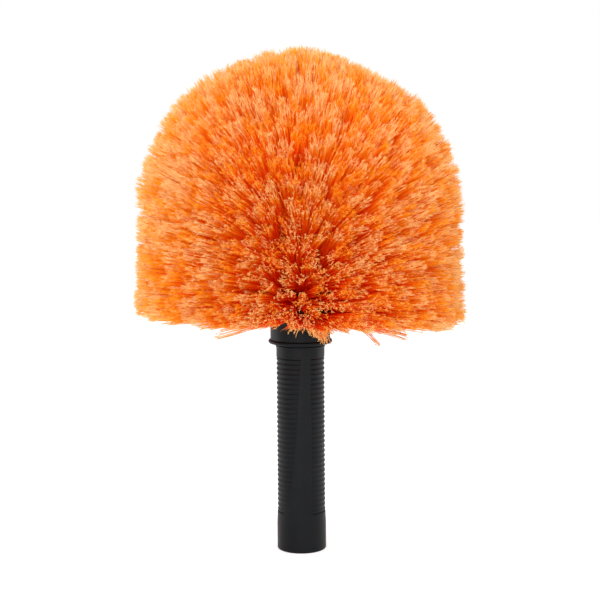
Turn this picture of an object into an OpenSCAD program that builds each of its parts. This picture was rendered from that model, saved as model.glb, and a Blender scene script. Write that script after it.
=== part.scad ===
// Cobweb brush head: a dome of stiff bristles on a moulded block, over a ribbed screw-in handle.
// Millimetres. The origin is the centre of the handle's open end, +Z runs up the handle,
// and -Y is the front, where the smooth band on the handle faces.

/* [Bristles] */
// Diameter of the bristles where the dome starts
brush_d = 186; // [178:1:196]
// Height of the straight bristle rows below the dome
bristle_skirt_h = 62.5; // [56:0.5:66]
// How far the lowest row stands out past the dome's radius
bristle_flare = 2; // [0:0.5:4]
// Strands in each tuft
tuft_strands = 4; // [3:1:4]
// Width of a strand where it leaves its tuft's root
strand_root_w = 0.6; // [0.5:0.05:0.65]
// Spacing of the strands where they leave the tuft's root
strand_root_pitch = 0.75; // [0.72:0.01:0.8]
// Widest part of a strand over the spacing of the strands in its ring
strand_fill = 0.68; // [0.4:0.02:0.7]
// Length of a strand's pointed end
strand_point_l = 11; // [8:1:16]

/* [Tuft holes] */
// Diameter of the drilled tuft holes
tuft_hole_d = 3.4; // [3:0.1:3.6]
// Depth of the tuft holes
tuft_hole_l = 6; // [5:0.5:6.5]
// Gap between a tuft and the wall of its hole
tuft_gap = 0.05; // [0.03:0.01:0.08]
// How far a tuft's round root stands out of its hole
tuft_root_out = 1.6; // [1.4:0.1:2.4]
// Height of the lowest row of holes above the tufted side's lower edge
first_hole_up = 4.5; // [3.5:0.5:6]
// Polar angle of a dome hole over that of its bristle tips
hole_spread = 1.5; // [1.4:0.05:1.7]

/* [Staples] */
// Thickness of the staple wire
staple_t = 0.4; // [0.3:0.05:0.5]
// Width of a staple across its hole
staple_w = 3.1; // [2.4:0.1:3.1]
// Height of a staple along its hole
staple_h = 2.2; // [1.5:0.1:2.5]

/* [Block] */
// Diameter of the tufted block
block_d = 48; // [46:0.5:52]
// Height of the block from the handle's seat to the centre of its dome
block_h = 69.5; // [66:0.5:74]
// Height of the narrow neck between the handle's seat and the tufted side
neck_h = 6.5; // [5:0.5:8]
// Length of the skirt below the handle's seat
skirt_l = 6.3; // [5:0.1:8]
// Wall of the skirt
skirt_wall = 3; // [2.4:0.2:4]
// Thickness of the rolled lip on the skirt's lower edge
lip_t = 2.3; // [1.6:0.1:2.8]
// How far the lip stands out past the skirt
lip_out = 1.2; // [0.8:0.1:1.6]
// Chamfer on the tufted side's lower edge
block_chamfer = 1.5; // [0.5:0.5:3]

/* [Handle] */
// Diameter of the smooth collar and band
handle_d = 27.9; // [26:0.1:30]
// Diameter of the smooth ferrule at the open end
ferrule_d = 28.5; // [28.3:0.1:31]
// Length of the ferrule's straight part
ferrule_l = 15.5; // [12:0.5:18]
// Length of the cone between the ferrule and the ribs
ferrule_cone_l = 6.8; // [4:0.1:9]
// Rounding of the ferrule's lower edge
ferrule_round = 1; // [0.5:0.1:2]
// Number of grip ribs
rib_count = 32; // [20:1:34]
// Spacing of the grip ribs
rib_pitch = 2.85; // [2.7:0.05:3.2]
// Radius of a rib's rounded back
rib_round = 1.25; // [1.1:0.05:1.3]
// Depth of the grooves between the ribs
groove_depth = 0.5; // [0.3:0.05:0.7]
// How far the ribs lie below the smooth band
rib_drop = 0.05; // [0.03:0.01:0.1]
// Length of the smooth collar above the ribs
collar_l = 13.7; // [11:0.1:18]
// Thickness of the bead round the collar, just below the skirt's lip
bead_t = 1.8; // [1.2:0.1:2.4]
// How far the bead stands out
bead_out = 0.4; // [0.2:0.05:0.6]
// Gap between the bead and the lip above it
bead_gap = 0.7; // [0.5:0.05:0.9]

/* [Pole thread] */
// Outer diameter of the pole thread
thread_d = 19.05; // [18.5:0.05:19.5]
// Length of the threaded tip above the handle
thread_l = 25.4; // [20:0.2:28]
// Chamfer on the threaded tip's end
thread_chamfer = 1.6; // [0.8:0.1:2]
// Radial gap round a pole's thread in the handle's socket
socket_gap = 0.125; // [0.05:0.005:0.3]
// Depth of the pole socket
socket_l = 32; // [26:0.5:40]
// Diameter of the hollow above the pole socket
hollow_d = 16; // [12:0.5:18]
// Thickness of the web between the hollow and the tip's seat
web_t = 6; // [4:0.5:8]
// Diameter of the tip's shank in the handle
shank_d = 14; // [12:0.5:16]
// Length of the tip's shank in the handle
shank_l = 25; // [18:0.5:28]

/* [Running gaps] */
// Gap between the handle, the threaded tip and the block
turn_gap = 0.3; // [0.2:0.05:0.4]
// Depth left free above the threaded tip
thread_free = 2; // [1:0.5:4]

/* [Hidden] */
$fn = 96;
RINGS = 15;

bristle_colour = "#e87631";
plastic_colour = "#2f3133";
steel_colour = "#b9bcc0";

// Heights along the handle and the block
ribs_z = ferrule_l + ferrule_cone_l;
collar_z = ribs_z + rib_count * rib_pitch;
handle_top = collar_z + collar_l;
block_z = handle_top + turn_gap;
dome_z = block_z + block_h;
tufted_z = block_z + neck_h;
lip_z = block_z - skirt_l + lip_t / 2;
bead_z = block_z - skirt_l - bead_gap - bead_t / 2;
seat_z = block_z - shank_l - turn_gap;

// Radii
handle_r = handle_d / 2;
rib_r = handle_r - rib_drop;
groove_r = rib_r - groove_depth;
collar_bore_r = handle_r + turn_gap;
skirt_r = collar_bore_r + skirt_wall;
lip_r = skirt_r + lip_out - lip_t / 2;
thread_r = thread_d / 2;
block_r = block_d / 2;
brush_r = brush_d / 2;
plug_r = tuft_hole_d / 2 - tuft_gap;

// The bristle tips lie in even rows along a line from the crown down to the rim
dome_arc = PI / 2 * brush_r;
tip_row = (dome_arc + bristle_skirt_h) / RINGS;
shoulder_s = dome_arc / hole_spread;
last_s = (RINGS - 0.5) * tip_row;

// Distance from the crown to the tips of a ring, ring 1 being the lowest
function tip_s(ring) = (RINGS - ring + 0.5) * tip_row;

// Radius and height of the tips at a distance s from the crown
function tip_rz(s) = s < dome_arc
    ? let (a = 90 * s / dome_arc) [brush_r * sin(a), dome_z + brush_r * cos(a)]
    : [brush_r + bristle_flare * (s - dome_arc) / bristle_skirt_h, dome_z - (s - dome_arc)];

// Radius and height of the holes whose tips lie at a distance s from the crown
function hole_rz(s) = s < shoulder_s
    ? let (a = 90 * s / shoulder_s) [block_r * sin(a), dome_z + block_r * cos(a)]
    : let (down = (s - shoulder_s) / (last_s - shoulder_s))
        [block_r, dome_z - down * (block_h - neck_h - first_hole_up)];

// Number of tufts in a ring, so that strands stand about one row apart
function tufts_in(ring) =
    ceil(2 * PI * tip_rz(tip_s(ring))[0] / (tuft_strands * tip_row));

// Width of a ring's strands where their pointed ends start
function strand_w(ring) = strand_fill
    * 2 * PI * tip_rz(tip_s(ring))[0] / (tufts_in(ring) * tuft_strands);

// Azimuth of a tuft, with every other ring turned by half a tuft
function tuft_azimuth(ring, k) = (k + 0.5 * (ring % 2)) * 360 / tufts_in(ring);

// Azimuth of a strand's tip from the middle of its tuft
function strand_turn(ring, m) =
    (m - (tuft_strands - 1) / 2) * 360 / (tufts_in(ring) * tuft_strands);

// Radius of the middle of a tuft's tips
function mean_tip_r(ring) = tip_rz(tip_s(ring))[0]
    * cos_sum(ring, tuft_strands - 1) / tuft_strands;
function cos_sum(ring, m) = m < 0 ? 0 : cos(strand_turn(ring, m)) + cos_sum(ring, m - 1);

// A lone crown tuft stands on the axis
function tuft_root(ring) = tufts_in(ring) == 1
    ? [0, dome_z + block_r]
    : hole_rz(tip_s(ring));
function tuft_axis(ring) = [mean_tip_r(ring), tip_rz(tip_s(ring))[1]] - tuft_root(ring);
function tuft_polar(ring) = atan2(tuft_axis(ring)[0], tuft_axis(ring)[1]);

// Tip of strand m in its tuft's own frame: z along the tuft, y round the brush
function strand_tip(ring, m) =
    let (
        tip = tip_rz(tip_s(ring)),
        root = tuft_root(ring),
        p = tuft_polar(ring),
        dr = tip[0] * cos(strand_turn(ring, m)) - root[0],
        dz = tip[1] - root[1]
    )
    [dr * cos(p) - dz * sin(p), tip[0] * sin(strand_turn(ring, m)), dr * sin(p) + dz * cos(p)];

// Scale from the spread of a tuft's tips to the spread of its strands at the root
function root_share(ring) =
    strand_root_pitch / norm(strand_tip(ring, 1) - strand_tip(ring, 0));

SQUARE = [[-1, -1, 0], [1, -1, 0], [1, 1, 0], [-1, 1, 0]];

// One four-sided strand that widens from its root and ends in a point
module strand(from, to, root_w, wide_w, point_l) {
    wide = from + (to - from) * (1 - point_l / norm(to - from));
    polyhedron(
        points = concat(
            [for (q = SQUARE) from + q * root_w / 2],
            [for (q = SQUARE) wide + q * wide_w / 2],
            [to]
        ),
        faces = concat(
            [[0, 1, 2], [0, 2, 3]],
            [for (i = [0:3]) [i, i + 4, (i + 1) % 4 + 4]],
            [for (i = [0:3]) [i, (i + 1) % 4 + 4, (i + 1) % 4]],
            [for (i = [0:3]) [i + 4, 8, (i + 1) % 4 + 4]]
        )
    );
}

// Places its children in the frame of one tuft, with z out of the hole
module at_tuft(ring, k) {
    root = tuft_root(ring);
    rotate([0, 0, tuft_azimuth(ring, k)])
        translate([root[0], 0, root[1]])
            rotate([0, tuft_polar(ring), 0])
                children();
}

// A tuft: the round root that fills its hole, slotted for the staple, and its strands
module tuft(ring) {
    bury = tuft_root_out / 2;
    difference() {
        union() {
            translate([0, 0, tuft_gap - tuft_hole_l])
                cylinder(r = plug_r, h = tuft_hole_l - tuft_gap + tuft_root_out, $fn = 24);
            for (m = [0:tuft_strands - 1])
                let (
                    tip = strand_tip(ring, m),
                    spread = [tip[0], tip[1], 0] * root_share(ring)
                )
                strand([spread[0], spread[1], tuft_root_out - bury], tip,
                    strand_root_w, strand_w(ring), strand_point_l);
        }
        translate([-staple_t / 2 - tuft_gap, -tuft_hole_d, -tuft_hole_l - 1])
            cube([staple_t + 2 * tuft_gap, 2 * tuft_hole_d, staple_h + 2 * tuft_gap + 1]);
    }
}

// All tufts of one ring
module tufts_ring(ring) {
    color(bristle_colour)
        for (k = [0:tufts_in(ring) - 1]) at_tuft(ring, k) tuft(ring);
}

// The flat staples that hold one ring's tufts, each at the bottom of its hole
module staples_ring(ring) {
    color(steel_colour)
        for (k = [0:tufts_in(ring) - 1])
            at_tuft(ring, k)
                translate([-staple_t / 2, -staple_w / 2, tuft_gap - tuft_hole_l])
                    cube([staple_t, staple_w, staple_h]);
}

// Half of the block's outline, without its bores
module block_outline() {
    intersection() {
        translate([0, dome_z]) circle(r = block_r);
        translate([0, dome_z]) square(block_r);
    }
    polygon([
        [0, tufted_z], [block_r - block_chamfer, tufted_z], [block_r, tufted_z + block_chamfer],
        [block_r, dome_z], [0, dome_z],
    ]);
    translate([0, lip_z]) square([skirt_r, tufted_z + block_chamfer - lip_z]);
    translate([lip_r, lip_z]) circle(d = lip_t);
    translate([0, lip_z - lip_t / 2]) square([lip_r, lip_t]);
}

// The moulded block: skirt and neck with a rolled lip, tufted side and dome, drilled tuft holes,
// a bore that takes the handle's collar and a blind bore for the threaded tip
module brush_block() {
    tip_bore_r = thread_r + turn_gap;
    tip_bore_l = thread_l + thread_free;
    color(plastic_colour)
        difference() {
            rotate_extrude() block_outline();
            translate([0, 0, block_z - skirt_l - 1])
                cylinder(r = collar_bore_r, h = skirt_l + 1);
            translate([0, 0, block_z - 1]) cylinder(r = tip_bore_r, h = tip_bore_l + 1);
            for (ring = [1:RINGS], k = [0:tufts_in(ring) - 1])
                at_tuft(ring, k)
                    translate([0, 0, -tuft_hole_l])
                        cylinder(d = tuft_hole_d, h = tuft_hole_l + 2 * tuft_root_out, $fn = 24);
        }
}

// The threaded tip: its thread's outer envelope above, and the shank that sits in the handle
module threaded_tip() {
    color(steel_colour)
        rotate_extrude()
            polygon([
                [0, block_z - shank_l], [shank_d / 2, block_z - shank_l], [shank_d / 2, block_z],
                [thread_r, block_z], [thread_r, block_z + thread_l - thread_chamfer],
                [thread_r - thread_chamfer, block_z + thread_l], [0, block_z + thread_l],
            ]);
}

// Half of the handle's outline with no ribs and no bores
module handle_outline() {
    polygon([
        [0, ferrule_round], [ferrule_d / 2, ferrule_round], [ferrule_d / 2, ferrule_l],
        [handle_r, ribs_z], [handle_r, handle_top], [0, handle_top],
    ]);
    square([ferrule_d / 2 - ferrule_round, ferrule_round + 1]);
    translate([ferrule_d / 2 - ferrule_round, ferrule_round]) circle(r = ferrule_round);
    translate([handle_r + bead_out - bead_t / 2, bead_z]) circle(d = bead_t);
}

// What is cut away between the round-backed ribs
module groove_outline() {
    difference() {
        translate([groove_r - 1, ribs_z]) square([groove_depth + 3, rib_count * rib_pitch]);
        translate([0, ribs_z - 1]) square([groove_r, rib_count * rib_pitch + 2]);
        for (i = [0:rib_count - 1])
            translate([rib_r - rib_round, ribs_z + (i + 0.5) * rib_pitch]) circle(r = rib_round);
    }
}

// Shape of the smooth band that interrupts the ribs in front, narrow above and wide below
module band_outline() {
    rib_zone = collar_z - ribs_z;
    polygon([
        for (p = [[0.3, 1.02], [5.7, 1.02], [6.7, -0.02], [-11, -0.02], [-8, 0.06],
                  [-5.4, 0.2], [-3, 0.48], [-1.2, 0.75]])
            [p[0], ribs_z + p[1] * rib_zone],
    ]);
}

// The ribbed handle, with the pole socket and hollow below and the tip's seat above
module grip_handle() {
    socket_r = thread_r + socket_gap;
    color(plastic_colour)
        difference() {
            rotate_extrude() handle_outline();
            difference() {
                rotate_extrude() groove_outline();
                rotate([90, 0, 0]) linear_extrude(handle_d) band_outline();
            }
            translate([0, 0, -1]) cylinder(r = socket_r, h = socket_l + 1);
            cylinder(d = hollow_d, h = seat_z - web_t);
            translate([0, 0, seat_z])
                cylinder(r = shank_d / 2 + turn_gap, h = handle_top - seat_z + 1);
        }
}

brush_block();
tufts_ring(1);  // tufts_ring_01
tufts_ring(2);  // tufts_ring_02
tufts_ring(3);  // tufts_ring_03
tufts_ring(4);  // tufts_ring_04
tufts_ring(5);  // tufts_ring_05
tufts_ring(6);  // tufts_ring_06
tufts_ring(7);  // tufts_ring_07
tufts_ring(8);  // tufts_ring_08
tufts_ring(9);  // tufts_ring_09
tufts_ring(10);  // tufts_ring_10
tufts_ring(11);  // tufts_ring_11
tufts_ring(12);  // tufts_ring_12
tufts_ring(13);  // tufts_ring_13
tufts_ring(14);  // tufts_ring_14
tufts_ring(15);  // tufts_ring_15
staples_ring(1);  // staples_ring_01
staples_ring(2);  // staples_ring_02
staples_ring(3);  // staples_ring_03
staples_ring(4);  // staples_ring_04
staples_ring(5);  // staples_ring_05
staples_ring(6);  // staples_ring_06
staples_ring(7);  // staples_ring_07
staples_ring(8);  // staples_ring_08
staples_ring(9);  // staples_ring_09
staples_ring(10);  // staples_ring_10
staples_ring(11);  // staples_ring_11
staples_ring(12);  // staples_ring_12
staples_ring(13);  // staples_ring_13
staples_ring(14);  // staples_ring_14
staples_ring(15);  // staples_ring_15
threaded_tip();
grip_handle();
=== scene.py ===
"""Looks of a domed cobweb brush: fine bristles, moulded block, ribbed screw-in handle.

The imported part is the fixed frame. Every piece made here rides on one of its bodies, and
all sizes are in millimetres until a mesh is written, when they become metres.
"""

import logging
import math
from dataclasses import dataclass
from enum import Enum
from typing import Any, Sequence

import bpy
import numpy as np
from mathutils import Euler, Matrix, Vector


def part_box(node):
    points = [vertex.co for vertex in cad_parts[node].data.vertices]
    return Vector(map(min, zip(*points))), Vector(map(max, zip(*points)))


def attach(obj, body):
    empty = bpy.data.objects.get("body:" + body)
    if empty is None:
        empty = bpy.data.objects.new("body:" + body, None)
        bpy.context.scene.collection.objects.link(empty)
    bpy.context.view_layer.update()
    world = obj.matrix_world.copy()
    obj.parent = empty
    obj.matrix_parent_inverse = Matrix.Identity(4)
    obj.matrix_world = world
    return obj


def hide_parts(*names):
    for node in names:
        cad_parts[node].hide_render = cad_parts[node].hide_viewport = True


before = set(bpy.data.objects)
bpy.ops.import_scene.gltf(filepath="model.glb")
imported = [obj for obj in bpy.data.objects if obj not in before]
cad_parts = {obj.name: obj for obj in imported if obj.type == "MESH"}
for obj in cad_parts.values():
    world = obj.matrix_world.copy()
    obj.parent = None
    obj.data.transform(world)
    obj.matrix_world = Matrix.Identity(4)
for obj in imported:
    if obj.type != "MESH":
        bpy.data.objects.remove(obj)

MM = 0.001
WHITE = (1.0, 1.0, 1.0, 1.0)
# Light meets many filaments before it leaves the brush, so it gets this many bounces.
LIGHT_BOUNCES = 16
# Height of the gap in which the handle turns against the block.
TURN_GAP = 0.3
# Share of a direction that is upright from which it counts as steep.
STEEP = 0.9
log = logging.getLogger("cobweb_brush")


class Body(str, Enum):
    """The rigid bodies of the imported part."""

    HEAD = "brush_head"
    TIP = "tip_body"
    HANDLE = "handle_body"


class Slot(str, Enum):
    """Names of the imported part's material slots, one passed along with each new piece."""

    BRISTLES = "bristles"
    BLOCK = "block_plastic"
    HANDLE = "handle_plastic"
    TIP = "tip_metal"


def linear(hex_colour: str) -> tuple[float, float, float, float]:
    """Turns an sRGB colour into the linear one that shaders take.

    Args:
        hex_colour: Six hexadecimal digits, as in "e87631".

    Returns:
        Linear red, green, blue and an alpha of 1.
    """
    parts = [int(hex_colour[i : i + 2], 16) / 255 for i in (0, 2, 4)]
    curve = [c / 12.92 if c <= 0.04045 else ((c + 0.055) / 1.055) ** 2.4 for c in parts]
    return (*curve, 1.0)


def add_node(
    tree: bpy.types.NodeTree,
    kind: str,
    inputs: dict[Any, Any] | None = None,
    **settings: Any,
) -> bpy.types.Node:
    """Adds one shader node with its settings, values and links.

    Args:
        tree: The node tree that gets the node.
        kind: The node's type name without the "ShaderNode" in front.
        inputs: Input name or number to a value, or to the output socket that feeds it.
        settings: Properties of the node itself.

    Returns:
        The new node.
    """
    node = tree.nodes.new("ShaderNode" + kind)
    for name, value in settings.items():
        setattr(node, name, value)
    for key, value in (inputs or {}).items():
        if isinstance(value, bpy.types.NodeSocket):
            tree.links.new(value, node.inputs[key])
        else:
            node.inputs[key].default_value = value
    return node


def add_ramp(
    tree: bpy.types.NodeTree,
    fac: bpy.types.NodeSocket,
    stops: Sequence[tuple[float, tuple[float, float, float, float]]],
) -> bpy.types.Node:
    """Adds a colour ramp.

    Args:
        tree: The node tree that gets the ramp.
        fac: The socket that drives it.
        stops: Position and linear colour of each stop, in order.

    Returns:
        The ramp's node.
    """
    ramp = add_node(tree, "ValToRGB", {"Fac": fac})
    elements = ramp.color_ramp.elements
    while len(elements) < len(stops):
        elements.new(0.5)
    for element, (position, colour) in zip(elements, stops):
        element.position = position
        element.color = colour
    return ramp


def new_material(name: str) -> tuple[bpy.types.Material, bpy.types.NodeTree]:
    """Makes an empty node material.

    Args:
        name: The material's name.

    Returns:
        The material and its node tree, which holds no nodes yet.
    """
    material = bpy.data.materials.new(name)
    material.use_nodes = True
    material.node_tree.nodes.clear()
    return material, material.node_tree


@dataclass(frozen=True)
class MouldedPlastic:
    """Black polypropylene with the fine grain of a spark-eroded mould.

    The grain breaks up the highlight, so the surface looks dry and soft, not polished.
    """

    name: str
    colour: str = "0b0d0f"
    worn_colour: str = "101315"
    grain_mm: float = 0.35
    grain_detail: float = 3.0
    grain_depth_mm: float = 0.012
    grain_strength: float = 0.35
    cloud_mm: float = 14.0
    cloud_detail: float = 4.0
    cloud_range: tuple[float, float] = (0.3, 0.7)
    worn_between: tuple[float, float] = (0.35, 0.75)
    roughness: float = 0.44
    roughness_spread: float = 0.1
    gloss: float = 0.12
    ior: float = 1.49

    def build(self) -> bpy.types.Material:
        """Makes the material.

        Returns:
            The finished material.
        """
        material, tree = new_material(self.name)
        place = add_node(tree, "TexCoord").outputs["Object"]
        grain = add_node(
            tree,
            "TexNoise",
            {"Vector": place, "Scale": 1 / (self.grain_mm * MM), "Detail": self.grain_detail},
        )
        cloud = add_node(
            tree,
            "TexNoise",
            {"Vector": place, "Scale": 1 / (self.cloud_mm * MM), "Detail": self.cloud_detail},
        )
        colour = add_ramp(
            tree,
            cloud.outputs["Fac"],
            list(zip(self.worn_between, (linear(self.colour), linear(self.worn_colour)))),
        )
        rough = add_node(
            tree,
            "MapRange",
            {
                "Value": cloud.outputs["Fac"],
                "From Min": self.cloud_range[0],
                "From Max": self.cloud_range[1],
                "To Min": self.roughness - self.roughness_spread / 2,
                "To Max": self.roughness + self.roughness_spread / 2,
            },
        )
        bump = add_node(
            tree,
            "Bump",
            {
                "Height": grain.outputs["Fac"],
                "Strength": self.grain_strength,
                "Distance": self.grain_depth_mm * MM,
            },
        )
        shader = add_node(
            tree,
            "BsdfPrincipled",
            {
                "Base Color": colour.outputs["Color"],
                "Roughness": rough.outputs["Result"],
                "IOR": self.ior,
                "Specular IOR Level": self.gloss,
                "Normal": bump.outputs["Normal"],
            },
        )
        add_node(tree, "OutputMaterial", {"Surface": shader.outputs["BSDF"]})
        return material


@dataclass(frozen=True)
class BristleFilament:
    """Dyed polypropylene filament, paler at its split tips, with painted shade that turns it a
    deeper orange towards its roots inside the brush.

    The filament is thin enough to let lamp light on to the ones behind it and colours it on
    the way, so the brush glows red between its clumps and has no grey shadows.
    """

    name: str
    # Painted shade: the root stop is a deeper orange than the dye, for the shade deep inside the
    # brush; the paler outer and tip stops are the split ends' own colour.
    root: str = "ff560a"
    middle: str = "fb8414"
    outer: str = "f3a81e"
    tip: str = "f2ca84"
    stops: tuple[float, float, float, float] = (0.3, 0.7, 0.91, 1.0)
    lets_on: str = "ff7624"
    shade_shift: float = 0.22
    lets_through: float = 0.7
    roughness: float = 0.5
    gloss: float = 0.2
    ior: float = 1.49

    def build(self) -> bpy.types.Material:
        """Makes the material.

        Returns:
            The finished material.
        """
        material, tree = new_material(self.name)
        along = add_node(tree, "Attribute", attribute_name="along").outputs["Fac"]
        shade = add_node(tree, "Attribute", attribute_name="shade").outputs["Fac"]
        shift = add_node(
            tree,
            "MapRange",
            {"Value": shade, "To Min": -self.shade_shift / 2, "To Max": self.shade_shift / 2},
        )
        where = add_node(tree, "Math", {0: along, 1: shift.outputs["Result"]}, operation="ADD")
        colours = [linear(c) for c in (self.root, self.middle, self.outer, self.tip)]
        colour = add_ramp(tree, where.outputs["Value"], list(zip(self.stops, colours)))
        solid = add_node(
            tree,
            "BsdfPrincipled",
            {
                "Base Color": colour.outputs["Color"],
                "Roughness": self.roughness,
                "IOR": self.ior,
                "Specular IOR Level": self.gloss,
            },
        )
        lamp_ray = add_node(tree, "LightPath").outputs["Is Shadow Ray"]
        share = add_node(tree, "Math", {0: lamp_ray, 1: self.lets_through}, operation="MULTIPLY")
        through = add_node(tree, "BsdfTransparent", {"Color": linear(self.lets_on)})
        mix = add_node(
            tree,
            "MixShader",
            {0: share.outputs["Value"], 1: solid.outputs["BSDF"], 2: through.outputs["BSDF"]},
        )
        add_node(tree, "OutputMaterial", {"Surface": mix.outputs["Shader"]})
        return material


@dataclass(frozen=True)
class DrawnMetal:
    """Plated steel or cast zinc with fine drawing marks that stretch the highlight."""

    name: str
    colour: str = "b8bbbf"
    mark_mm: float = 0.25
    mark_detail: float = 2.0
    roughness: tuple[float, float] = (0.24, 0.44)

    def build(self) -> bpy.types.Material:
        """Makes the material.

        Returns:
            The finished material.
        """
        material, tree = new_material(self.name)
        place = add_node(tree, "TexCoord").outputs["Object"]
        marks = add_node(
            tree,
            "TexNoise",
            {"Vector": place, "Scale": 1 / (self.mark_mm * MM), "Detail": self.mark_detail},
        )
        rough = add_node(
            tree,
            "MapRange",
            {
                "Value": marks.outputs["Fac"],
                "To Min": self.roughness[0],
                "To Max": self.roughness[1],
            },
        )
        shader = add_node(
            tree,
            "BsdfPrincipled",
            {
                "Base Color": linear(self.colour),
                "Metallic": 1.0,
                "Roughness": rough.outputs["Result"],
            },
        )
        add_node(tree, "OutputMaterial", {"Surface": shader.outputs["BSDF"]})
        return material


@dataclass(frozen=True)
class Finishes:
    """The finished materials of all pieces."""

    block: bpy.types.Material
    handle: bpy.types.Material
    tip: bpy.types.Material
    staples: bpy.types.Material
    bristles: bpy.types.Material

    @classmethod
    def build(cls) -> "Finishes":
        """Makes every finish once."""
        return cls(
            block=MouldedPlastic("moulded_polypropylene_block").build(),
            handle=MouldedPlastic("moulded_polypropylene_handle").build(),
            tip=DrawnMetal("plated_steel_tip").build(),
            staples=DrawnMetal("staple_wire", colour="c4c6c8").build(),
            bristles=BristleFilament("dyed_polypropylene_filament").build(),
        )

    def of_node(self, name: str) -> bpy.types.Material:
        """Picks the finish of one CAD node.

        Args:
            name: The node's name.

        Returns:
            Its finish.
        """
        single = {
            "brush_block": self.block,
            "grip_handle": self.handle,
            "threaded_tip": self.tip,
        }
        return single.get(name, self.staples if name.startswith("staples") else self.bristles)

    def dress_nodes(self) -> None:
        """Gives every CAD node its finish."""
        for name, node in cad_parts.items():
            node.data.materials.clear()
            node.data.materials.append(self.of_node(name))


def make_object(
    name: str,
    vertices: np.ndarray,
    faces: Sequence[np.ndarray],
    material: bpy.types.Material,
) -> bpy.types.Object:
    """Makes a mesh object from arrays, smooth until its maker says otherwise.

    Args:
        name: The piece's name.
        vertices: Points in millimetres, one row each.
        faces: Arrays of vertex numbers, each holding faces of one size.
        material: The piece's material.

    Returns:
        The new object, linked to the scene.
    """
    mesh = bpy.data.meshes.new(name)
    mesh.vertices.add(len(vertices))
    mesh.vertices.foreach_set("co", (vertices * MM).astype(np.float32).ravel())
    corners = np.concatenate([f.ravel() for f in faces]).astype(np.int32)
    sizes = np.concatenate([np.full(len(f), f.shape[1]) for f in faces])
    starts = np.concatenate([[0], np.cumsum(sizes)[:-1]]).astype(np.int32)
    mesh.loops.add(len(corners))
    mesh.loops.foreach_set("vertex_index", corners)
    mesh.polygons.add(len(sizes))
    mesh.polygons.foreach_set("loop_start", starts)
    mesh.polygons.foreach_set("use_smooth", np.ones(len(sizes), bool))
    mesh.update(calc_edges=True)
    mesh.validate()
    mesh.materials.append(material)
    piece = bpy.data.objects.new(name, mesh)
    bpy.context.scene.collection.objects.link(piece)
    return piece


def place(piece: bpy.types.Object, body: Body, slot: Slot, *nodes: str) -> bpy.types.Object:
    """Makes a piece ride on its body and stand for its CAD nodes.

    Args:
        piece: The piece, already where it belongs.
        body: The body that it moves with.
        slot: The record's material slot that goes with the piece. Not used.
        nodes: The CAD nodes that it stands for.

    Returns:
        The same piece.
    """
    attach(piece, body.value)
    if nodes:
        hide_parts(*nodes)
    return piece


def unit(vectors: np.ndarray) -> np.ndarray:
    """Scales each vector in the last axis to length 1."""
    return vectors / np.maximum(np.linalg.norm(vectors, axis=-1, keepdims=True), 1e-9)


@dataclass(frozen=True)
class DomeLayout:
    """Where the tuft holes and the bristle tips lie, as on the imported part."""

    block_z: float
    rings: int = 15
    brush_r: float = 93.0
    skirt_h: float = 62.5
    flare: float = 2.0
    block_r: float = 24.0
    block_h: float = 69.5
    neck_h: float = 6.5
    first_hole_up: float = 4.5
    hole_spread: float = 1.5
    tuft_strands: int = 4

    @property
    def dome_z(self) -> float:
        """Height of the dome's centre."""
        return self.block_z + self.block_h

    @property
    def dome_arc(self) -> float:
        """Length of the dome's outline from the crown to its foot."""
        return math.pi / 2 * self.brush_r

    @property
    def tip_row(self) -> float:
        """Distance between two rows of bristle tips."""
        return (self.dome_arc + self.skirt_h) / self.rings

    def tip_s(self, ring: int) -> float:
        """Distance from the crown to the tips of a ring, ring 1 being the lowest."""
        return (self.rings - ring + 0.5) * self.tip_row

    def tip_points(self, s: np.ndarray, azimuth: np.ndarray) -> np.ndarray:
        """Points on the surface that the bristle tips reach.

        Args:
            s: Distance from the crown along the outline.
            azimuth: Angle round the brush in radians, 0 being +X.

        Returns:
            Points, with one more axis than s.
        """
        on_dome = np.clip(s, 0.0, self.dome_arc) / self.brush_r
        down = np.maximum(s - self.dome_arc, 0.0)
        r = self.brush_r * np.sin(on_dome) + self.flare * down / self.skirt_h
        z = self.dome_z + self.brush_r * np.cos(on_dome) - down
        return np.stack([r * np.cos(azimuth), r * np.sin(azimuth), z], -1)

    def outward(self, points: np.ndarray) -> np.ndarray:
        """Finds the ways out of the brush, which are level below the dome's foot.

        Args:
            points: Points on or in the brush.

        Returns:
            A unit vector for each point.
        """
        heart = np.zeros_like(points)
        heart[..., 2] = np.minimum(self.dome_z, points[..., 2])
        return unit(points - heart)

    def hole_rz(self, s: float) -> tuple[float, float]:
        """Finds the holes whose tips lie at a distance from the crown.

        Args:
            s: Distance from the crown along the outline.

        Returns:
            Radius and height of the holes.
        """
        shoulder = self.dome_arc / self.hole_spread
        if s < shoulder:
            a = math.pi / 2 * s / shoulder
            return self.block_r * math.sin(a), self.dome_z + self.block_r * math.cos(a)
        last = (self.rings - 0.5) * self.tip_row
        down = (s - shoulder) / (last - shoulder)
        return self.block_r, self.dome_z - down * (self.block_h - self.neck_h - self.first_hole_up)

    def tufts_in(self, ring: int) -> int:
        """Number of tufts in a ring."""
        r = float(np.hypot(*self.tip_points(np.array(self.tip_s(ring)), np.array(0.0))[:2]))
        return math.ceil(2 * math.pi * r / (self.tuft_strands * self.tip_row))

    def tuft_azimuths(self, ring: int) -> np.ndarray:
        """Azimuths of a ring's tufts, every other ring being turned by half a tuft."""
        n = self.tufts_in(ring)
        return (np.arange(n) + 0.5 * (ring % 2)) * 2 * math.pi / n

    def tuft_roots(self, ring: int) -> np.ndarray:
        """Finds the points where a ring's tufts leave the block.

        Args:
            ring: The ring's number from the rim.

        Returns:
            One point for each tuft.
        """
        azimuth = self.tuft_azimuths(ring)
        if len(azimuth) == 1:
            return np.array([[0.0, 0.0, self.dome_z + self.block_r]])
        r, z = self.hole_rz(self.tip_s(ring))
        return np.stack([r * np.cos(azimuth), r * np.sin(azimuth), np.full(len(azimuth), z)], -1)


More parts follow.
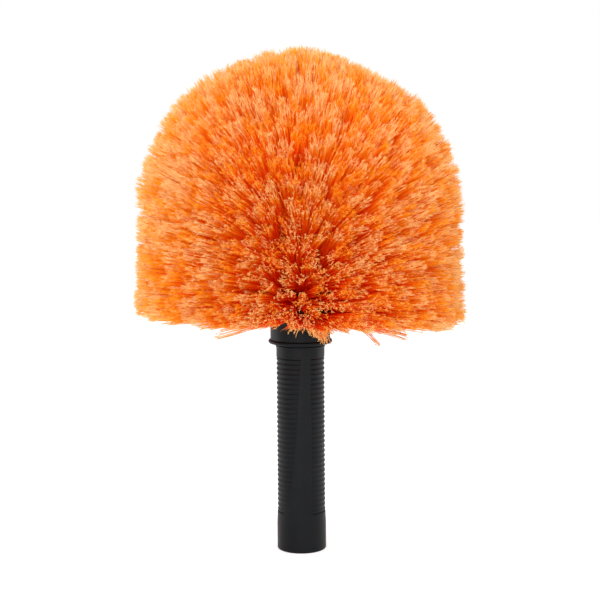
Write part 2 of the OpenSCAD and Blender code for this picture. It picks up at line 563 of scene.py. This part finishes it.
@dataclass(frozen=True)
class Dent:
    """A place where the photographed brush is pushed in or stands out."""

    polar_deg: float
    azimuth_deg: float
    width_deg: float
    depth: float

    def push(self, directions: np.ndarray) -> np.ndarray:
        """Works out how far the brush is pushed in.

        Args:
            directions: Unit vectors from the dome's centre.

        Returns:
            Millimetres for each direction.
        """
        p, a = math.radians(self.polar_deg), math.radians(self.azimuth_deg)
        middle = np.array([math.sin(p) * math.cos(a), math.sin(p) * math.sin(a), math.cos(p)])
        away = np.degrees(np.arccos(np.clip(directions @ middle, -1.0, 1.0)))
        return self.depth * np.exp(-((away / self.width_deg) ** 2))


@dataclass(frozen=True)
class Wisp:
    """A few stray filaments that hang away from the rim, from the block to an end point."""

    start: tuple[float, float, float]
    end: tuple[float, float, float]
    sag: float
    count: int
    spread: float
    start_along: float = 0.75


# Pushed-in places: two on the dome's right side, one on its left and one near the crown.
DENTS = (
    Dent(24.0, -5.0, 13.0, 5.0),
    Dent(38.0, -15.0, 6.0, 4.0),
    Dent(22.0, 180.0, 9.0, 2.5),
    Dent(7.0, -60.0, 5.0, 4.0),
)
# Stray filaments at the rim: one wisp on the left, three on the right, three in front.
WISPS = (
    Wisp((-17.0, -17.0, 134.0), (-47.0, -30.0, 128.0), 1.5, 8, 1.2, 0.4),
    Wisp((23.0, -6.0, 134.0), (45.0, -12.0, 120.5), 2.0, 6, 0.5, 0.3),
    Wisp((20.0, -12.0, 134.0), (61.0, -20.0, 126.0), 2.0, 12, 1.4, 0.4),
    Wisp((22.0, -8.0, 135.0), (82.0, -14.0, 131.0), 2.0, 14, 1.6, 0.4),
    Wisp((6.0, -23.0, 136.0), (10.0, -31.0, 128.5), 1.0, 36, 2.2),
    Wisp((9.0, -22.0, 135.0), (14.5, -30.0, 126.0), 1.0, 16, 1.5),
    Wisp((3.0, -23.5, 136.0), (-1.0, -32.0, 134.0), 1.0, 26, 2.6),
)


@dataclass(frozen=True)
class Filaments:
    """Many filaments: four Bezier points and a shade for each.

    The places along say how old and pale the filament looks at its two ends: 0 is a root
    and 1 a full-length tip.
    """

    points: np.ndarray
    shade: np.ndarray
    end_along: np.ndarray
    start_along: float = 0.0

    def at(self, t: np.ndarray) -> np.ndarray:
        """Points along the curves.

        Args:
            t: Places along the curves, one row a filament.

        Returns:
            One point for each place.
        """
        t = t[..., None]
        p0, p1, p2, p3 = (self.points[:, i, None, :] for i in range(4))
        return (1 - t) ** 3 * p0 + 3 * (1 - t) ** 2 * t * p1 + 3 * (1 - t) * t**2 * p2 + t**3 * p3

    def along(self, t: np.ndarray) -> np.ndarray:
        """How far from the root to a full-length tip the places on the curves are."""
        return self.start_along + t * (self.end_along[:, None] - self.start_along)


@dataclass(frozen=True)
class TubeSet:
    """Thin tubes of one kind, each of them open at its end or drawn out to a point."""

    centre: np.ndarray
    radius: np.ndarray
    along: np.ndarray
    shade: np.ndarray
    pointed: bool


@dataclass
class BristleDome:
    """All the bristles: tufts of fine filaments, gathered in clumps, with split tips."""

    layout: DomeLayout
    material: bpy.types.Material
    # Each tuft's long filaments end together in a grid of clumps.
    clump_columns: int = 9
    clump_rows: int = 2
    clump_filaments: int = 19
    clump_jitter: float = 0.42
    clump_spread: float = 1.7
    longest: float = 2.0
    clump_length_spread: float = 2.6
    clump_shade: float = 0.65
    filament_length_spread: float = 2.8
    # Where a filament's curve turns from its tuft's axis and comes out of the brush.
    bend_at: float = 0.36
    bend_fan: float = 0.16
    late_at: float = 0.3
    late_outward: float = 0.45
    # Broken and short filaments, by the share of the way that they reach.
    inner_filaments: int = 240
    inner_reach: tuple[float, float] = (0.45, 0.95)
    straight_at: tuple[float, float] = (0.3, 0.7)
    # The trimmed rim, which is a little up on the left and sags on the right.
    rim_z: float = 139.5
    rim_row: float = 0.55
    rim_row_up: float = 0.2
    rim_spread: float = 0.9
    left_lift: float = 1.0
    right_sag: float = 5.5
    # How the roots spread over a tuft hole.
    plug_r: float = 4.5
    plug_rise: float = 2.0
    root_jitter: float = 0.9
    buried: float = 3.0
    # Stems and the hairs of their split ends, as coarse as they need to be to show singly.
    stem_r: float = 0.2
    split_at: float = 0.94
    split_spread: float = 0.012
    flags: int = 3
    flag_r: float = 0.13
    flag_spread_deg: float = 9.0
    flag_spread_share: tuple[float, float] = (0.2, 1.5)
    flag_length_share: tuple[float, float] = (0.75, 1.15)
    flag_curl: float = 0.4
    wave: float = 0.7
    # Chance in the stray filaments at the rim.
    wisp_root_spread: float = 0.5
    wisp_bend_at: float = 0.35
    wisp_bend_spread: float = 0.6
    wisp_late_at: float = 0.3
    wisp_late_spread: float = 1.6
    wisp_shades: tuple[float, float] = (0.2, 1.0)
    # A tube's UV strip lies at its shade, as wide as a share of the step between shades.
    tube_sides: int = 3
    shades: int = 200
    shade_strip: float = 0.9
    seed: int = 7
    dents: Sequence[Dent] = DENTS
    wisps: Sequence[Wisp] = WISPS
    stem_steps: Sequence[float] = (0.0, 0.35, 0.7, 1.0)
    inner_steps: Sequence[float] = (0.0, 0.6, 1.0)

    def build(self) -> list[bpy.types.Object]:
        """Makes one piece for each ring of tufts.

        Returns:
            The pieces, from the rim's ring to the crown's.
        """
        pieces = []
        for ring in range(1, self.layout.rings + 1):
            rng = np.random.default_rng([self.seed, ring])
            outer = [self._outer_filaments(ring, rng)]
            if ring == 1:
                outer += [self._wisp_filaments(w, rng) for w in self.wisps]
            tubes = [self._short_tubes(self._inner_filaments(ring, rng))]
            for filaments in outer:
                tubes += self._split_tubes(filaments, rng)
            piece = self._piece(f"bristles_ring_{ring:02d}", tubes)
            place(piece, Body.HEAD, Slot.BRISTLES, f"tufts_ring_{ring:02d}")
            pieces.append(piece)
        return pieces

    def _outer_filaments(self, ring: int, rng: np.random.Generator) -> Filaments:
        """Filaments that reach the outside of the brush, in clumps that end together.

        Args:
            ring: The ring's number from the rim.
            rng: The ring's own source of chance.

        Returns:
            The ring's long filaments.
        """
        lay = self.layout
        azimuth, roots = lay.tuft_azimuths(ring), lay.tuft_roots(ring)
        n, cols, rows = len(azimuth), self.clump_columns, self.clump_rows
        clumps, each = (n, cols, rows), (n, cols, rows, self.clump_filaments)
        column = ((np.arange(cols) + 0.5) / cols - 0.5)[None, :, None]
        row = ((np.arange(rows) + 0.5) / rows - 0.5)[None, None, :]
        row = row * self.rim_row - self.rim_row_up if ring == 1 else row
        off_column, off_row = rng.uniform(-self.clump_jitter, self.clump_jitter, (2, *clumps))
        a = azimuth[:, None, None] + 2 * math.pi / n * (column + off_column / cols)
        s = lay.tip_s(ring) + lay.tip_row * (row + off_row / rows)
        centre = lay.tip_points(s, a)
        out = lay.outward(centre)
        from_heart = unit(centre - [0.0, 0.0, lay.dome_z])
        push = sum((d.push(from_heart) for d in self.dents), np.zeros(clumps))
        length = self.longest - rng.exponential(self.clump_length_spread, clumps) - push
        centre = centre + out * length[..., None]
        out = out[..., None, :]
        scatter = rng.normal(0.0, self.clump_spread, (*each, 3))
        scatter -= (scatter * out).sum(-1, keepdims=True) * out
        short = rng.exponential(self.filament_length_spread, (*each, 1))
        tip = centre[..., None, :] + scatter - out * short
        droop = self.right_sag * np.maximum(np.cos(a), 0.0)[..., None]
        lift = self.left_lift * np.maximum(-np.cos(a), 0.0)[..., None]
        lowness = np.clip((lay.dome_z - tip[..., 2]) / lay.skirt_h, 0.0, 1.0)
        rim = self.rim_z + lift - droop + rng.normal(0.0, self.rim_spread, each)
        tip[..., 2] = np.maximum(tip[..., 2] - droop * lowness**2, rim)
        root, axis = self._spread_roots(roots, centre.mean((1, 2)), tip, rng)
        gap = np.linalg.norm(tip - root, axis=-1, keepdims=True)
        fan = tip - root - ((tip - root) * axis).sum(-1, keepdims=True) * axis
        bend = root + axis * gap * self.bend_at + fan * self.bend_fan
        onward = (1 - self.late_outward) * unit(tip - root) + self.late_outward * out
        late = tip - unit(onward) * gap * self.late_at
        late = late + rng.normal(0.0, self.wave, (*each, 3))
        shade = self.clump_shade * rng.uniform(0.0, 1.0, (*clumps, 1))
        shade = shade + (1 - self.clump_shade) * rng.uniform(0.0, 1.0, each)
        return Filaments(
            np.stack([root - axis * self.buried, bend, late, tip], -2).reshape(-1, 4, 3),
            shade.reshape(-1),
            np.ones(shade.size),
        )

    def _inner_filaments(self, ring: int, rng: np.random.Generator) -> Filaments:
        """Broken and short filaments that fill the brush between the clumps.

        Args:
            ring: The ring's number from the rim.
            rng: The ring's own source of chance.

        Returns:
            The ring's short filaments.
        """
        lay = self.layout
        azimuth, roots = lay.tuft_azimuths(ring), lay.tuft_roots(ring)
        each = (len(azimuth), self.inner_filaments)
        a = azimuth[:, None] + 2 * math.pi / len(azimuth) * rng.uniform(-0.5, 0.5, each)
        s = lay.tip_s(ring) + lay.tip_row * rng.uniform(-0.5, 0.5, each)
        end = lay.tip_points(s, a)
        end[..., 2] = np.maximum(end[..., 2], self.rim_z)
        reach = rng.uniform(*self.inner_reach, each)
        root, axis = self._spread_roots(roots, end.mean(1), end, rng)
        tip = root + (end - root) * reach[..., None]
        near, far = (root + (tip - root) * share for share in self.straight_at)
        return Filaments(
            np.stack([root - axis * self.buried, near, far, tip], -2).reshape(-1, 4, 3),
            rng.uniform(0.0, 1.0, reach.size),
            reach.reshape(-1),
        )

    def _spread_roots(
        self, roots: np.ndarray, middles: np.ndarray, tips: np.ndarray, rng: np.random.Generator
    ) -> tuple[np.ndarray, np.ndarray]:
        """Spreads the filaments of each tuft over its hole, on the side that their tips lie.

        Args:
            roots: Middle of each tuft's hole.
            middles: Middle of each tuft's tips.
            tips: The filaments' tips, with the tufts on the first axis.
            rng: The ring's own source of chance.

        Returns:
            Root of each filament, and each tuft's axis shaped to go with the tips.
        """
        shape = (len(roots),) + (1,) * (tips.ndim - 2) + (3,)
        axis = unit(middles - roots).reshape(shape)
        root = roots.reshape(shape)
        fan = tips - root
        fan = unit(fan - (fan * axis).sum(-1, keepdims=True) * axis)
        root_shape = tips.shape
        inside = self.plug_r * np.sqrt(rng.uniform(0.0, 1.0, (*root_shape[:-1], 1)))
        off = fan * inside + rng.normal(0.0, self.root_jitter, root_shape)
        off[..., 2] = np.clip(off[..., 2], -self.plug_rise, self.plug_rise)
        return root + off, axis

    def _wisp_filaments(self, wisp: Wisp, rng: np.random.Generator) -> Filaments:
        """Filaments that hang away from the rim.

        Args:
            wisp: The wisp.
            rng: The ring's own source of chance.

        Returns:
            The wisp's filaments.
        """
        start = np.array(wisp.start) + rng.normal(0.0, self.wisp_root_spread, (wisp.count, 3))
        end = np.array(wisp.end) + rng.normal(0.0, wisp.spread, (wisp.count, 3))
        out = unit(np.array([*wisp.start[:2], 0.0]))
        gap = np.linalg.norm(end - start, axis=-1, keepdims=True)
        bend = start + out * gap * self.wisp_bend_at
        bend = bend + rng.normal(0.0, self.wisp_bend_spread, start.shape)
        late = end + (start - end) * self.wisp_late_at + [0.0, 0.0, wisp.sag]
        late = late + rng.normal(0.0, self.wisp_late_spread, end.shape)
        return Filaments(
            np.stack([start, bend, late, end], -2),
            rng.uniform(*self.wisp_shades, wisp.count),
            np.ones(wisp.count),
            wisp.start_along,
        )

    def _short_tubes(self, filaments: Filaments) -> TubeSet:
        """Makes tubes that follow the short filaments and run out in a point.

        Args:
            filaments: The filaments.

        Returns:
            The tubes.
        """
        steps = np.asarray(self.inner_steps)
        t = np.broadcast_to(steps, (len(filaments.shade), len(steps)))
        radius = np.full(t.shape, self.stem_r)
        return TubeSet(filaments.at(t), radius, filaments.along(t), filaments.shade, True)

    def _split_tubes(self, filaments: Filaments, rng: np.random.Generator) -> list[TubeSet]:
        """Stems, and the finer hairs that each stem's end is split into.

        Args:
            filaments: The filaments.
            rng: The ring's own source of chance.

        Returns:
            The stems and each set of hairs.
        """
        count = len(filaments.shade)
        split = rng.normal(self.split_at, self.split_spread, (count, 1))
        t = np.asarray(self.stem_steps)[None, :] * split
        stem = filaments.at(t)
        radius = np.full(t.shape, self.stem_r)
        tubes = [TubeSet(stem, radius, filaments.along(t), filaments.shade, False)]
        fork, tip = stem[:, -1], filaments.points[:, 3]
        heading = unit(tip - fork)
        length = np.linalg.norm(tip - fork, axis=-1, keepdims=True)
        spread_most = length * math.tan(math.radians(self.flag_spread_deg))
        for _ in range(self.flags):
            side = rng.normal(0.0, 1.0, (count, 3))
            side = unit(side - (side * heading).sum(-1, keepdims=True) * heading)
            spread = spread_most * rng.uniform(*self.flag_spread_share, (count, 1))
            reach = rng.uniform(*self.flag_length_share, (count, 1))
            end = fork + (tip - fork) * reach + side * spread
            middle = (fork + end) / 2 + rng.normal(0.0, self.flag_curl, (count, 3))
            hair_t = np.concatenate([split, (1 + split) / 2, np.ones((count, 1))], 1)
            radius = np.full(hair_t.shape, self.flag_r)
            hair = np.stack([fork, middle, end], 1)
            tubes.append(TubeSet(hair, radius, filaments.along(hair_t), filaments.shade, True))
        return tubes

    def _piece(self, name: str, tubes: Sequence[TubeSet]) -> bpy.types.Object:
        """Builds one mesh from tubes, with the attributes that its material reads.

        Args:
            name: The piece's name.
            tubes: The tubes.

        Returns:
            The piece.
        """
        vertices, faces, along, shades, uv = self._tubes(tubes)
        piece = make_object(name, vertices, faces, self.material)
        mesh = piece.data
        for label, values in (("along", along), ("shade", shades)):
            attribute = mesh.attributes.new(label, "FLOAT", "POINT")
            attribute.data.foreach_set("value", values.astype(np.float32))
        mesh.shade_flat()
        layer = mesh.uv_layers.new(name="OFBake")
        layer.data.foreach_set("uv", uv.astype(np.float32).ravel())
        return piece

    def _tubes(
        self, rows: Sequence[TubeSet]
    ) -> tuple[np.ndarray, list[np.ndarray], np.ndarray, np.ndarray, np.ndarray]:
        """Turns centre lines into tubes with a few flat sides.

        Args:
            rows: The sets of tubes.

        Returns:
            Vertices, faces, the place along and the shade of each vertex, and a UV for
            each corner that runs along the filament and across the strip of its shade.
        """
        sides = self.tube_sides
        turn = 2 * math.pi * np.arange(sides) / sides
        strip = self.shade_strip / (self.shades * sides)
        verts, quads, points, along, shades, quad_uv, point_uv = [], [], [], [], [], [], []
        base = 0
        for row in rows:
            count = len(row.shade)
            steps = row.along.shape[1] - (1 if row.pointed else 0)
            shade = np.floor(row.shade * (self.shades - 1)) / self.shades
            run = unit(row.centre[:, -1] - row.centre[:, 0])
            steep = np.abs(run[:, 2:3]) >= STEEP
            helper = np.where(steep, [[1.0, 0.0, 0.0]], [[0.0, 0.0, 1.0]])
            u = unit(np.cross(run, helper))[:, None, :]
            v = np.cross(run, u[:, 0])[:, None, :]
            ring = u * np.cos(turn)[None, :, None] + v * np.sin(turn)[None, :, None]
            round_line = row.radius[:, :steps, None, None] * ring[:, None]
            verts.append((row.centre[:, :steps, None, :] + round_line).reshape(-1, 3))
            along.append(np.repeat(row.along[:, :steps].reshape(-1), sides))
            shades.append(np.repeat(shade, steps * sides))
            index = base + np.arange(count * steps * sides).reshape(count, steps, sides)
            nxt = np.roll(index, -1, axis=2)
            quads.append(np.stack([index[:, :-1], nxt[:, :-1], nxt[:, 1:], index[:, 1:]], -1))
            low = shade[:, None, None] + strip * np.arange(sides)[None, None, :]
            low = np.broadcast_to(low, (count, steps - 1, sides))
            t0 = np.broadcast_to(row.along[:, : steps - 1, None], low.shape)
            t1 = np.broadcast_to(row.along[:, 1:steps, None], low.shape)
            corners = ((t0, low), (t0, low + strip), (t1, low + strip), (t1, low))
            quad_uv.append(np.stack([np.stack(c, -1) for c in corners], -2).reshape(-1, 2))
            base += count * steps * sides
            if not row.pointed:
                continue
            apex = base + np.arange(count)[:, None] + np.zeros((1, sides), int)
            points.append(np.stack([index[:, -1], nxt[:, -1], apex], -1))
            verts.append(row.centre[:, -1])
            along.append(row.along[:, -1])
            shades.append(shade)
            low = low[:, 0]
            before = np.broadcast_to(row.along[:, steps - 1 : steps], low.shape)
            after = np.broadcast_to(row.along[:, -1:], low.shape)
            corners = ((before, low), (before, low + strip), (after, low + strip / 2))
            point_uv.append(np.stack([np.stack(c, -1) for c in corners], -2).reshape(-1, 2))
            base += count
        faces = [np.concatenate([q.reshape(-1, q.shape[-1]) for q in f]) for f in (quads, points)]
        return (
            np.concatenate(verts),
            faces,
            np.concatenate(along),
            np.concatenate(shades),
            np.concatenate(quad_uv + point_uv),
        )


@dataclass(frozen=True)
class PoleThread:
    """The right-handed trapezoid thread that brush poles have, five turns to the inch."""

    pitch: float = 25.4 / 5
    depth: float = 1.7
    crest_width: float = 0.5
    flank: float = 0.1
    around: int = 96
    rise: float = 0.3

    def crest(self, z: np.ndarray, angle: np.ndarray, slack: float = 0.0) -> np.ndarray:
        """How much of the thread's depth stands up at each place.

        Args:
            z: Height above the thread's start.
            angle: Angle round the axis in radians.
            slack: Share of the pitch that the crest is narrower by.

        Returns:
            1 on the crest, 0 in the groove and between them on the flanks.
        """
        turn = np.mod(z / self.pitch - angle / (2 * math.pi), 1.0)
        half = self.crest_width / 2 - slack / 2 + self.flank / 2
        return np.clip((half - np.abs(turn - 0.5)) / self.flank, 0.0, 1.0)

    def rows(self, low: float, high: float) -> np.ndarray:
        """Heights of the rings of points between two ends."""
        return np.linspace(low, high, 1 + math.ceil((high - low) / self.rise))

    def angles(self) -> np.ndarray:
        """Angles of the points in a ring."""
        return 2 * math.pi * np.arange(self.around) / self.around


def turned_skin(
    name: str,
    heights: np.ndarray,
    radii: np.ndarray,
    material: bpy.types.Material,
    hollow: bool,
) -> bpy.types.Object:
    """Makes a closed skin from rings of points about the axis.

    Args:
        name: The piece's name.
        heights: Height of each ring.
        radii: Radius of each point, one row a ring.
        material: The piece's material.
        hollow: Whether the last ring joins the first, as in a sleeve, so that the skin has
            no flat ends.

    Returns:
        The piece.
    """
    count, around = radii.shape
    angle = 2 * math.pi * np.arange(around) / around
    z = np.broadcast_to(heights[:, None], radii.shape)
    points = np.stack([radii * np.cos(angle), radii * np.sin(angle), z], -1).reshape(-1, 3)
    index = np.arange(count * around).reshape(count, around)
    upper = np.roll(index, -1, axis=0)
    if not hollow:
        index, upper = index[:-1], upper[:-1]
    quads = np.stack(
        [index, np.roll(index, -1, axis=1), np.roll(upper, -1, axis=1), upper], -1
    ).reshape(-1, 4)
    faces = [quads]
    if not hollow:
        faces += [index[:1, ::-1], upper[-1:]]
    return make_object(name, points, faces, material)


@dataclass
class ScrewJoint:
    """The cut threads: on the metal tip, in the block above it and in the pole socket."""

    finishes: Finishes
    tip_low: float
    tip_high: float
    block_z: float
    thread_r: float
    shank_r: float = 7.0
    chamfer: float = 1.6
    wall_gap: float = 0.3
    socket_gap: float = 0.125
    socket_l: float = 32.0
    run_out: float = 2.5
    sunk: float = 0.4
    slack: float = 0.16

    def build(self) -> list[bpy.types.Object]:
        """Makes the threaded tip and the two inner threads.

        Returns:
            The pieces.
        """
        thread = PoleThread()
        tip_l = self.tip_high - self.block_z
        block = self._inner_thread(
            "block_thread", thread, self.block_z, tip_l, self.wall_gap, self.finishes.block
        )
        place(block, Body.HEAD, Slot.BLOCK)
        socket = self._inner_thread(
            "pole_socket_thread",
            thread,
            0.0,
            self.socket_l,
            self.socket_gap,
            self.finishes.handle,
        )
        place(socket, Body.HANDLE, Slot.HANDLE)
        return [self._tip(thread), block, socket]

    def _tip(self, thread: PoleThread) -> bpy.types.Object:
        """Makes the metal tip: a plain shank, and the thread with its chamfered end.

        Args:
            thread: The thread.

        Returns:
            The piece.
        """
        z = thread.rows(self.block_z, self.tip_high)
        angle = thread.angles()
        crest = thread.crest(z[:, None] - self.block_z, angle[None, :])
        envelope = np.minimum(self.thread_r, self.thread_r - self.chamfer + self.tip_high - z)
        cut = self.thread_r - thread.depth * (1 - crest)
        r = np.minimum(cut, envelope[:, None])
        r[0] = self.thread_r - thread.depth
        shank = np.full((2, thread.around), self.shank_r)
        tip = turned_skin(
            "threaded_tip_cut",
            np.concatenate([[self.tip_low, self.block_z], z]),
            np.concatenate([shank, r]),
            self.finishes.tip,
            hollow=False,
        )
        return place(tip, Body.TIP, Slot.TIP, "threaded_tip")

    def _inner_thread(
        self,
        name: str,
        thread: PoleThread,
        start: float,
        length: float,
        gap: float,
        finish: bpy.types.Material,
    ) -> bpy.types.Object:
        """One inner thread: a skin sunk in the bore's wall, of which only the crests stand out.

        Args:
            name: The piece's name.
            thread: The thread.
            start: Height of the bore's mouth.
            length: Length of the thread.
            gap: Radial gap between a thread and the bore's wall.
            finish: The wall's material.

        Returns:
            The piece.
        """
        z = thread.rows(start + self.wall_gap, start + length - self.wall_gap)
        turned = thread.angles() + math.pi
        crest = thread.crest(z[:, None] - start, turned[None, :], self.slack)
        fade = np.minimum(z - z[0], z[-1] - z) / self.run_out
        wall = self.thread_r + gap + self.sunk / 2
        stands = (thread.depth - self.wall_gap + gap + self.sunk / 2) * np.clip(fade, 0.0, 1.0)
        inner = wall - crest * stands[:, None]
        outer = np.full((2, thread.around), wall + self.sunk)
        return turned_skin(
            name,
            np.concatenate([z[::-1], [z[0], z[-1]]]),
            np.concatenate([inner[::-1], outer]),
            finish,
            hollow=True,
        )


@dataclass(frozen=True)
class Softbox:
    """A square lamp that faces the brush."""

    name: str
    at: tuple[float, float, float]
    side: float
    watts: float

    def build(self, aim: tuple[float, float, float]) -> None:
        """Adds the lamp.

        Args:
            aim: The point that it is turned to.
        """
        data = bpy.data.lights.new(self.name, "AREA")
        data.size = self.side * MM
        data.energy = self.watts
        lamp = bpy.data.objects.new(self.name, data)
        lamp.location = Vector(self.at) * MM
        lamp.rotation_euler = (Vector(aim) - Vector(self.at)).to_track_quat("-Z", "Y").to_euler()
        bpy.context.scene.collection.objects.link(lamp)


@dataclass
class Studio:
    """Camera, lamps and the white surroundings of the photograph."""

    camera_distance: float = 820.0
    camera_height: float = 239.0
    pitch_deg: float = 6.48
    roll_deg: float = -0.44
    focal_px: float = 1435.0
    frame_px: float = 600.0
    sensor_mm: float = 36.0
    nearest: float = 10.0
    front_strength: float = 0.55
    back_strength: float = 1.0
    floor_half: float = 3000.0
    floor_grey: float = 0.8
    floor_lift: float = 0.5
    lamps: Sequence[Softbox] = (
        Softbox("key_softbox", (-520.0, -760.0, 420.0), 560.0, 2.2),
        Softbox("fill_softbox", (640.0, -700.0, 300.0), 560.0, 1.8),
        Softbox("front_softbox", (-60.0, -960.0, 330.0), 420.0, 3.3),
        Softbox("top_softbox", (0.0, -120.0, 900.0), 600.0, 2.2),
        Softbox("left_strip", (-620.0, 160.0, 160.0), 300.0, 0.8),
        Softbox("right_strip", (620.0, 160.0, 160.0), 300.0, 0.8),
    )
    aim: tuple[float, float, float] = (0.0, 0.0, 150.0)

    def build(self) -> None:
        """Sets the camera, the lamps, the world, the floor and how light is counted."""
        self._camera()
        for lamp in self.lamps:
            lamp.build(self.aim)
        self._world()
        self._floor()
        bpy.context.scene.view_settings.view_transform = "Standard"
        bpy.context.scene.cycles.diffuse_bounces = LIGHT_BOUNCES
        bpy.context.scene.cycles.max_bounces = LIGHT_BOUNCES

    def _camera(self) -> None:
        """Sets the camera where the photograph was taken from."""
        data = bpy.data.cameras.new("camera")
        data.sensor_width = self.sensor_mm
        data.lens = self.focal_px / self.frame_px * self.sensor_mm
        data.clip_start = self.nearest * MM
        camera = bpy.data.objects.new("camera", data)
        camera.location = Vector((0.0, -self.camera_distance, self.camera_height)) * MM
        tilt = math.radians(90 - self.pitch_deg)
        camera.rotation_euler = Euler((tilt, 0.0, 0.0))
        camera.rotation_euler.rotate_axis("Z", math.radians(self.roll_deg))
        bpy.context.scene.collection.objects.link(camera)
        bpy.context.scene.camera = camera

    @staticmethod
    def _seen(tree: bpy.types.NodeTree) -> bpy.types.NodeSocket:
        """Tells rays that see the surroundings, straight or in a reflection, from light rays.

        Args:
            tree: The node tree that asks.

        Returns:
            A socket that is 1 for a ray that sees and 0 for one that carries light.
        """
        path = add_node(tree, "LightPath").outputs
        mirrored = add_node(
            tree,
            "Math",
            {0: path["Is Glossy Ray"], 1: path["Is Transmission Ray"]},
            operation="MAXIMUM",
        )
        return add_node(
            tree,
            "Math",
            {0: path["Is Camera Ray"], 1: mirrored.outputs["Value"]},
            operation="MAXIMUM",
        ).outputs["Value"]

    def _world(self) -> None:
        """Lights the scene, a little less from the front, and shows pure white behind it."""
        world = bpy.data.worlds.new("studio_white")
        world.use_nodes = True
        tree = world.node_tree
        tree.nodes.clear()
        seen = self._seen(tree)
        toward = add_node(tree, "TexCoord").outputs["Generated"]
        room = add_node(
            tree,
            "MapRange",
            {
                "Value": add_node(tree, "SeparateXYZ", {0: toward}).outputs["Y"],
                "From Min": -1.0,
                "To Min": self.front_strength,
                "To Max": self.back_strength,
            },
        )
        strength = add_node(
            tree, "MapRange", {"Value": seen, "To Min": room.outputs["Result"], "To Max": 1.0}
        )
        background = add_node(
            tree,
            "Background",
            {"Color": WHITE, "Strength": strength.outputs["Result"]},
        )
        add_node(tree, "OutputWorld", {"Surface": background.outputs["Background"]})
        bpy.context.scene.world = world

    def _floor(self) -> None:
        """Adds the white sweep that the brush stands on.

        It takes the brush's shadow, and it is clear from below, for a look into the socket.
        """
        material, tree = new_material("white_sweep")
        grey = self.floor_grey
        matt = add_node(tree, "BsdfDiffuse", {"Color": (grey, grey, grey, 1.0)})
        lift = add_node(
            tree,
            "MapRange",
            {"Value": self._seen(tree), "To Min": 0.0, "To Max": self.floor_lift},
        )
        glow = add_node(
            tree,
            "Emission",
            {"Color": WHITE, "Strength": lift.outputs["Result"]},
        )
        both = add_node(
            tree, "AddShader", {0: matt.outputs["BSDF"], 1: glow.outputs["Emission"]}
        )
        underside = add_node(tree, "NewGeometry").outputs["Backfacing"]
        clear = add_node(tree, "BsdfTransparent")
        mix = add_node(
            tree,
            "MixShader",
            {0: underside, 1: both.outputs["Shader"], 2: clear.outputs["BSDF"]},
        )
        add_node(tree, "OutputMaterial", {"Surface": mix.outputs["Shader"]})
        square = np.array([[-1.0, -1.0, 0.0], [1.0, -1.0, 0.0], [1.0, 1.0, 0.0], [-1.0, 1.0, 0.0]])
        corners = square * self.floor_half
        floor = make_object("floor", corners, [np.array([[0, 1, 2, 3]])], material)


def build_threads(finishes: Finishes, block_z: float) -> list[bpy.types.Object]:
    """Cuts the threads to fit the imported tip.

    Args:
        finishes: The finished materials.
        block_z: Height of the block's seat on the handle.

    Returns:
        The threaded pieces.
    """
    low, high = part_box("threaded_tip")
    return ScrewJoint(finishes, low.z / MM, high.z / MM, block_z, high.x / MM).build()


def main() -> None:
    logging.basicConfig(level=logging.INFO, format="%(message)s")
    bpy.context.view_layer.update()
    finishes = Finishes.build()
    finishes.dress_nodes()
    block_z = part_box("grip_handle")[1].z / MM + TURN_GAP
    pieces = build_threads(finishes, block_z)
    pieces += BristleDome(DomeLayout(block_z), finishes.bristles).build()
    for piece in pieces:
        log.info("%s: %d faces", piece.name, len(piece.data.polygons))
    Studio().build()


if __name__ == "__main__":
    main()
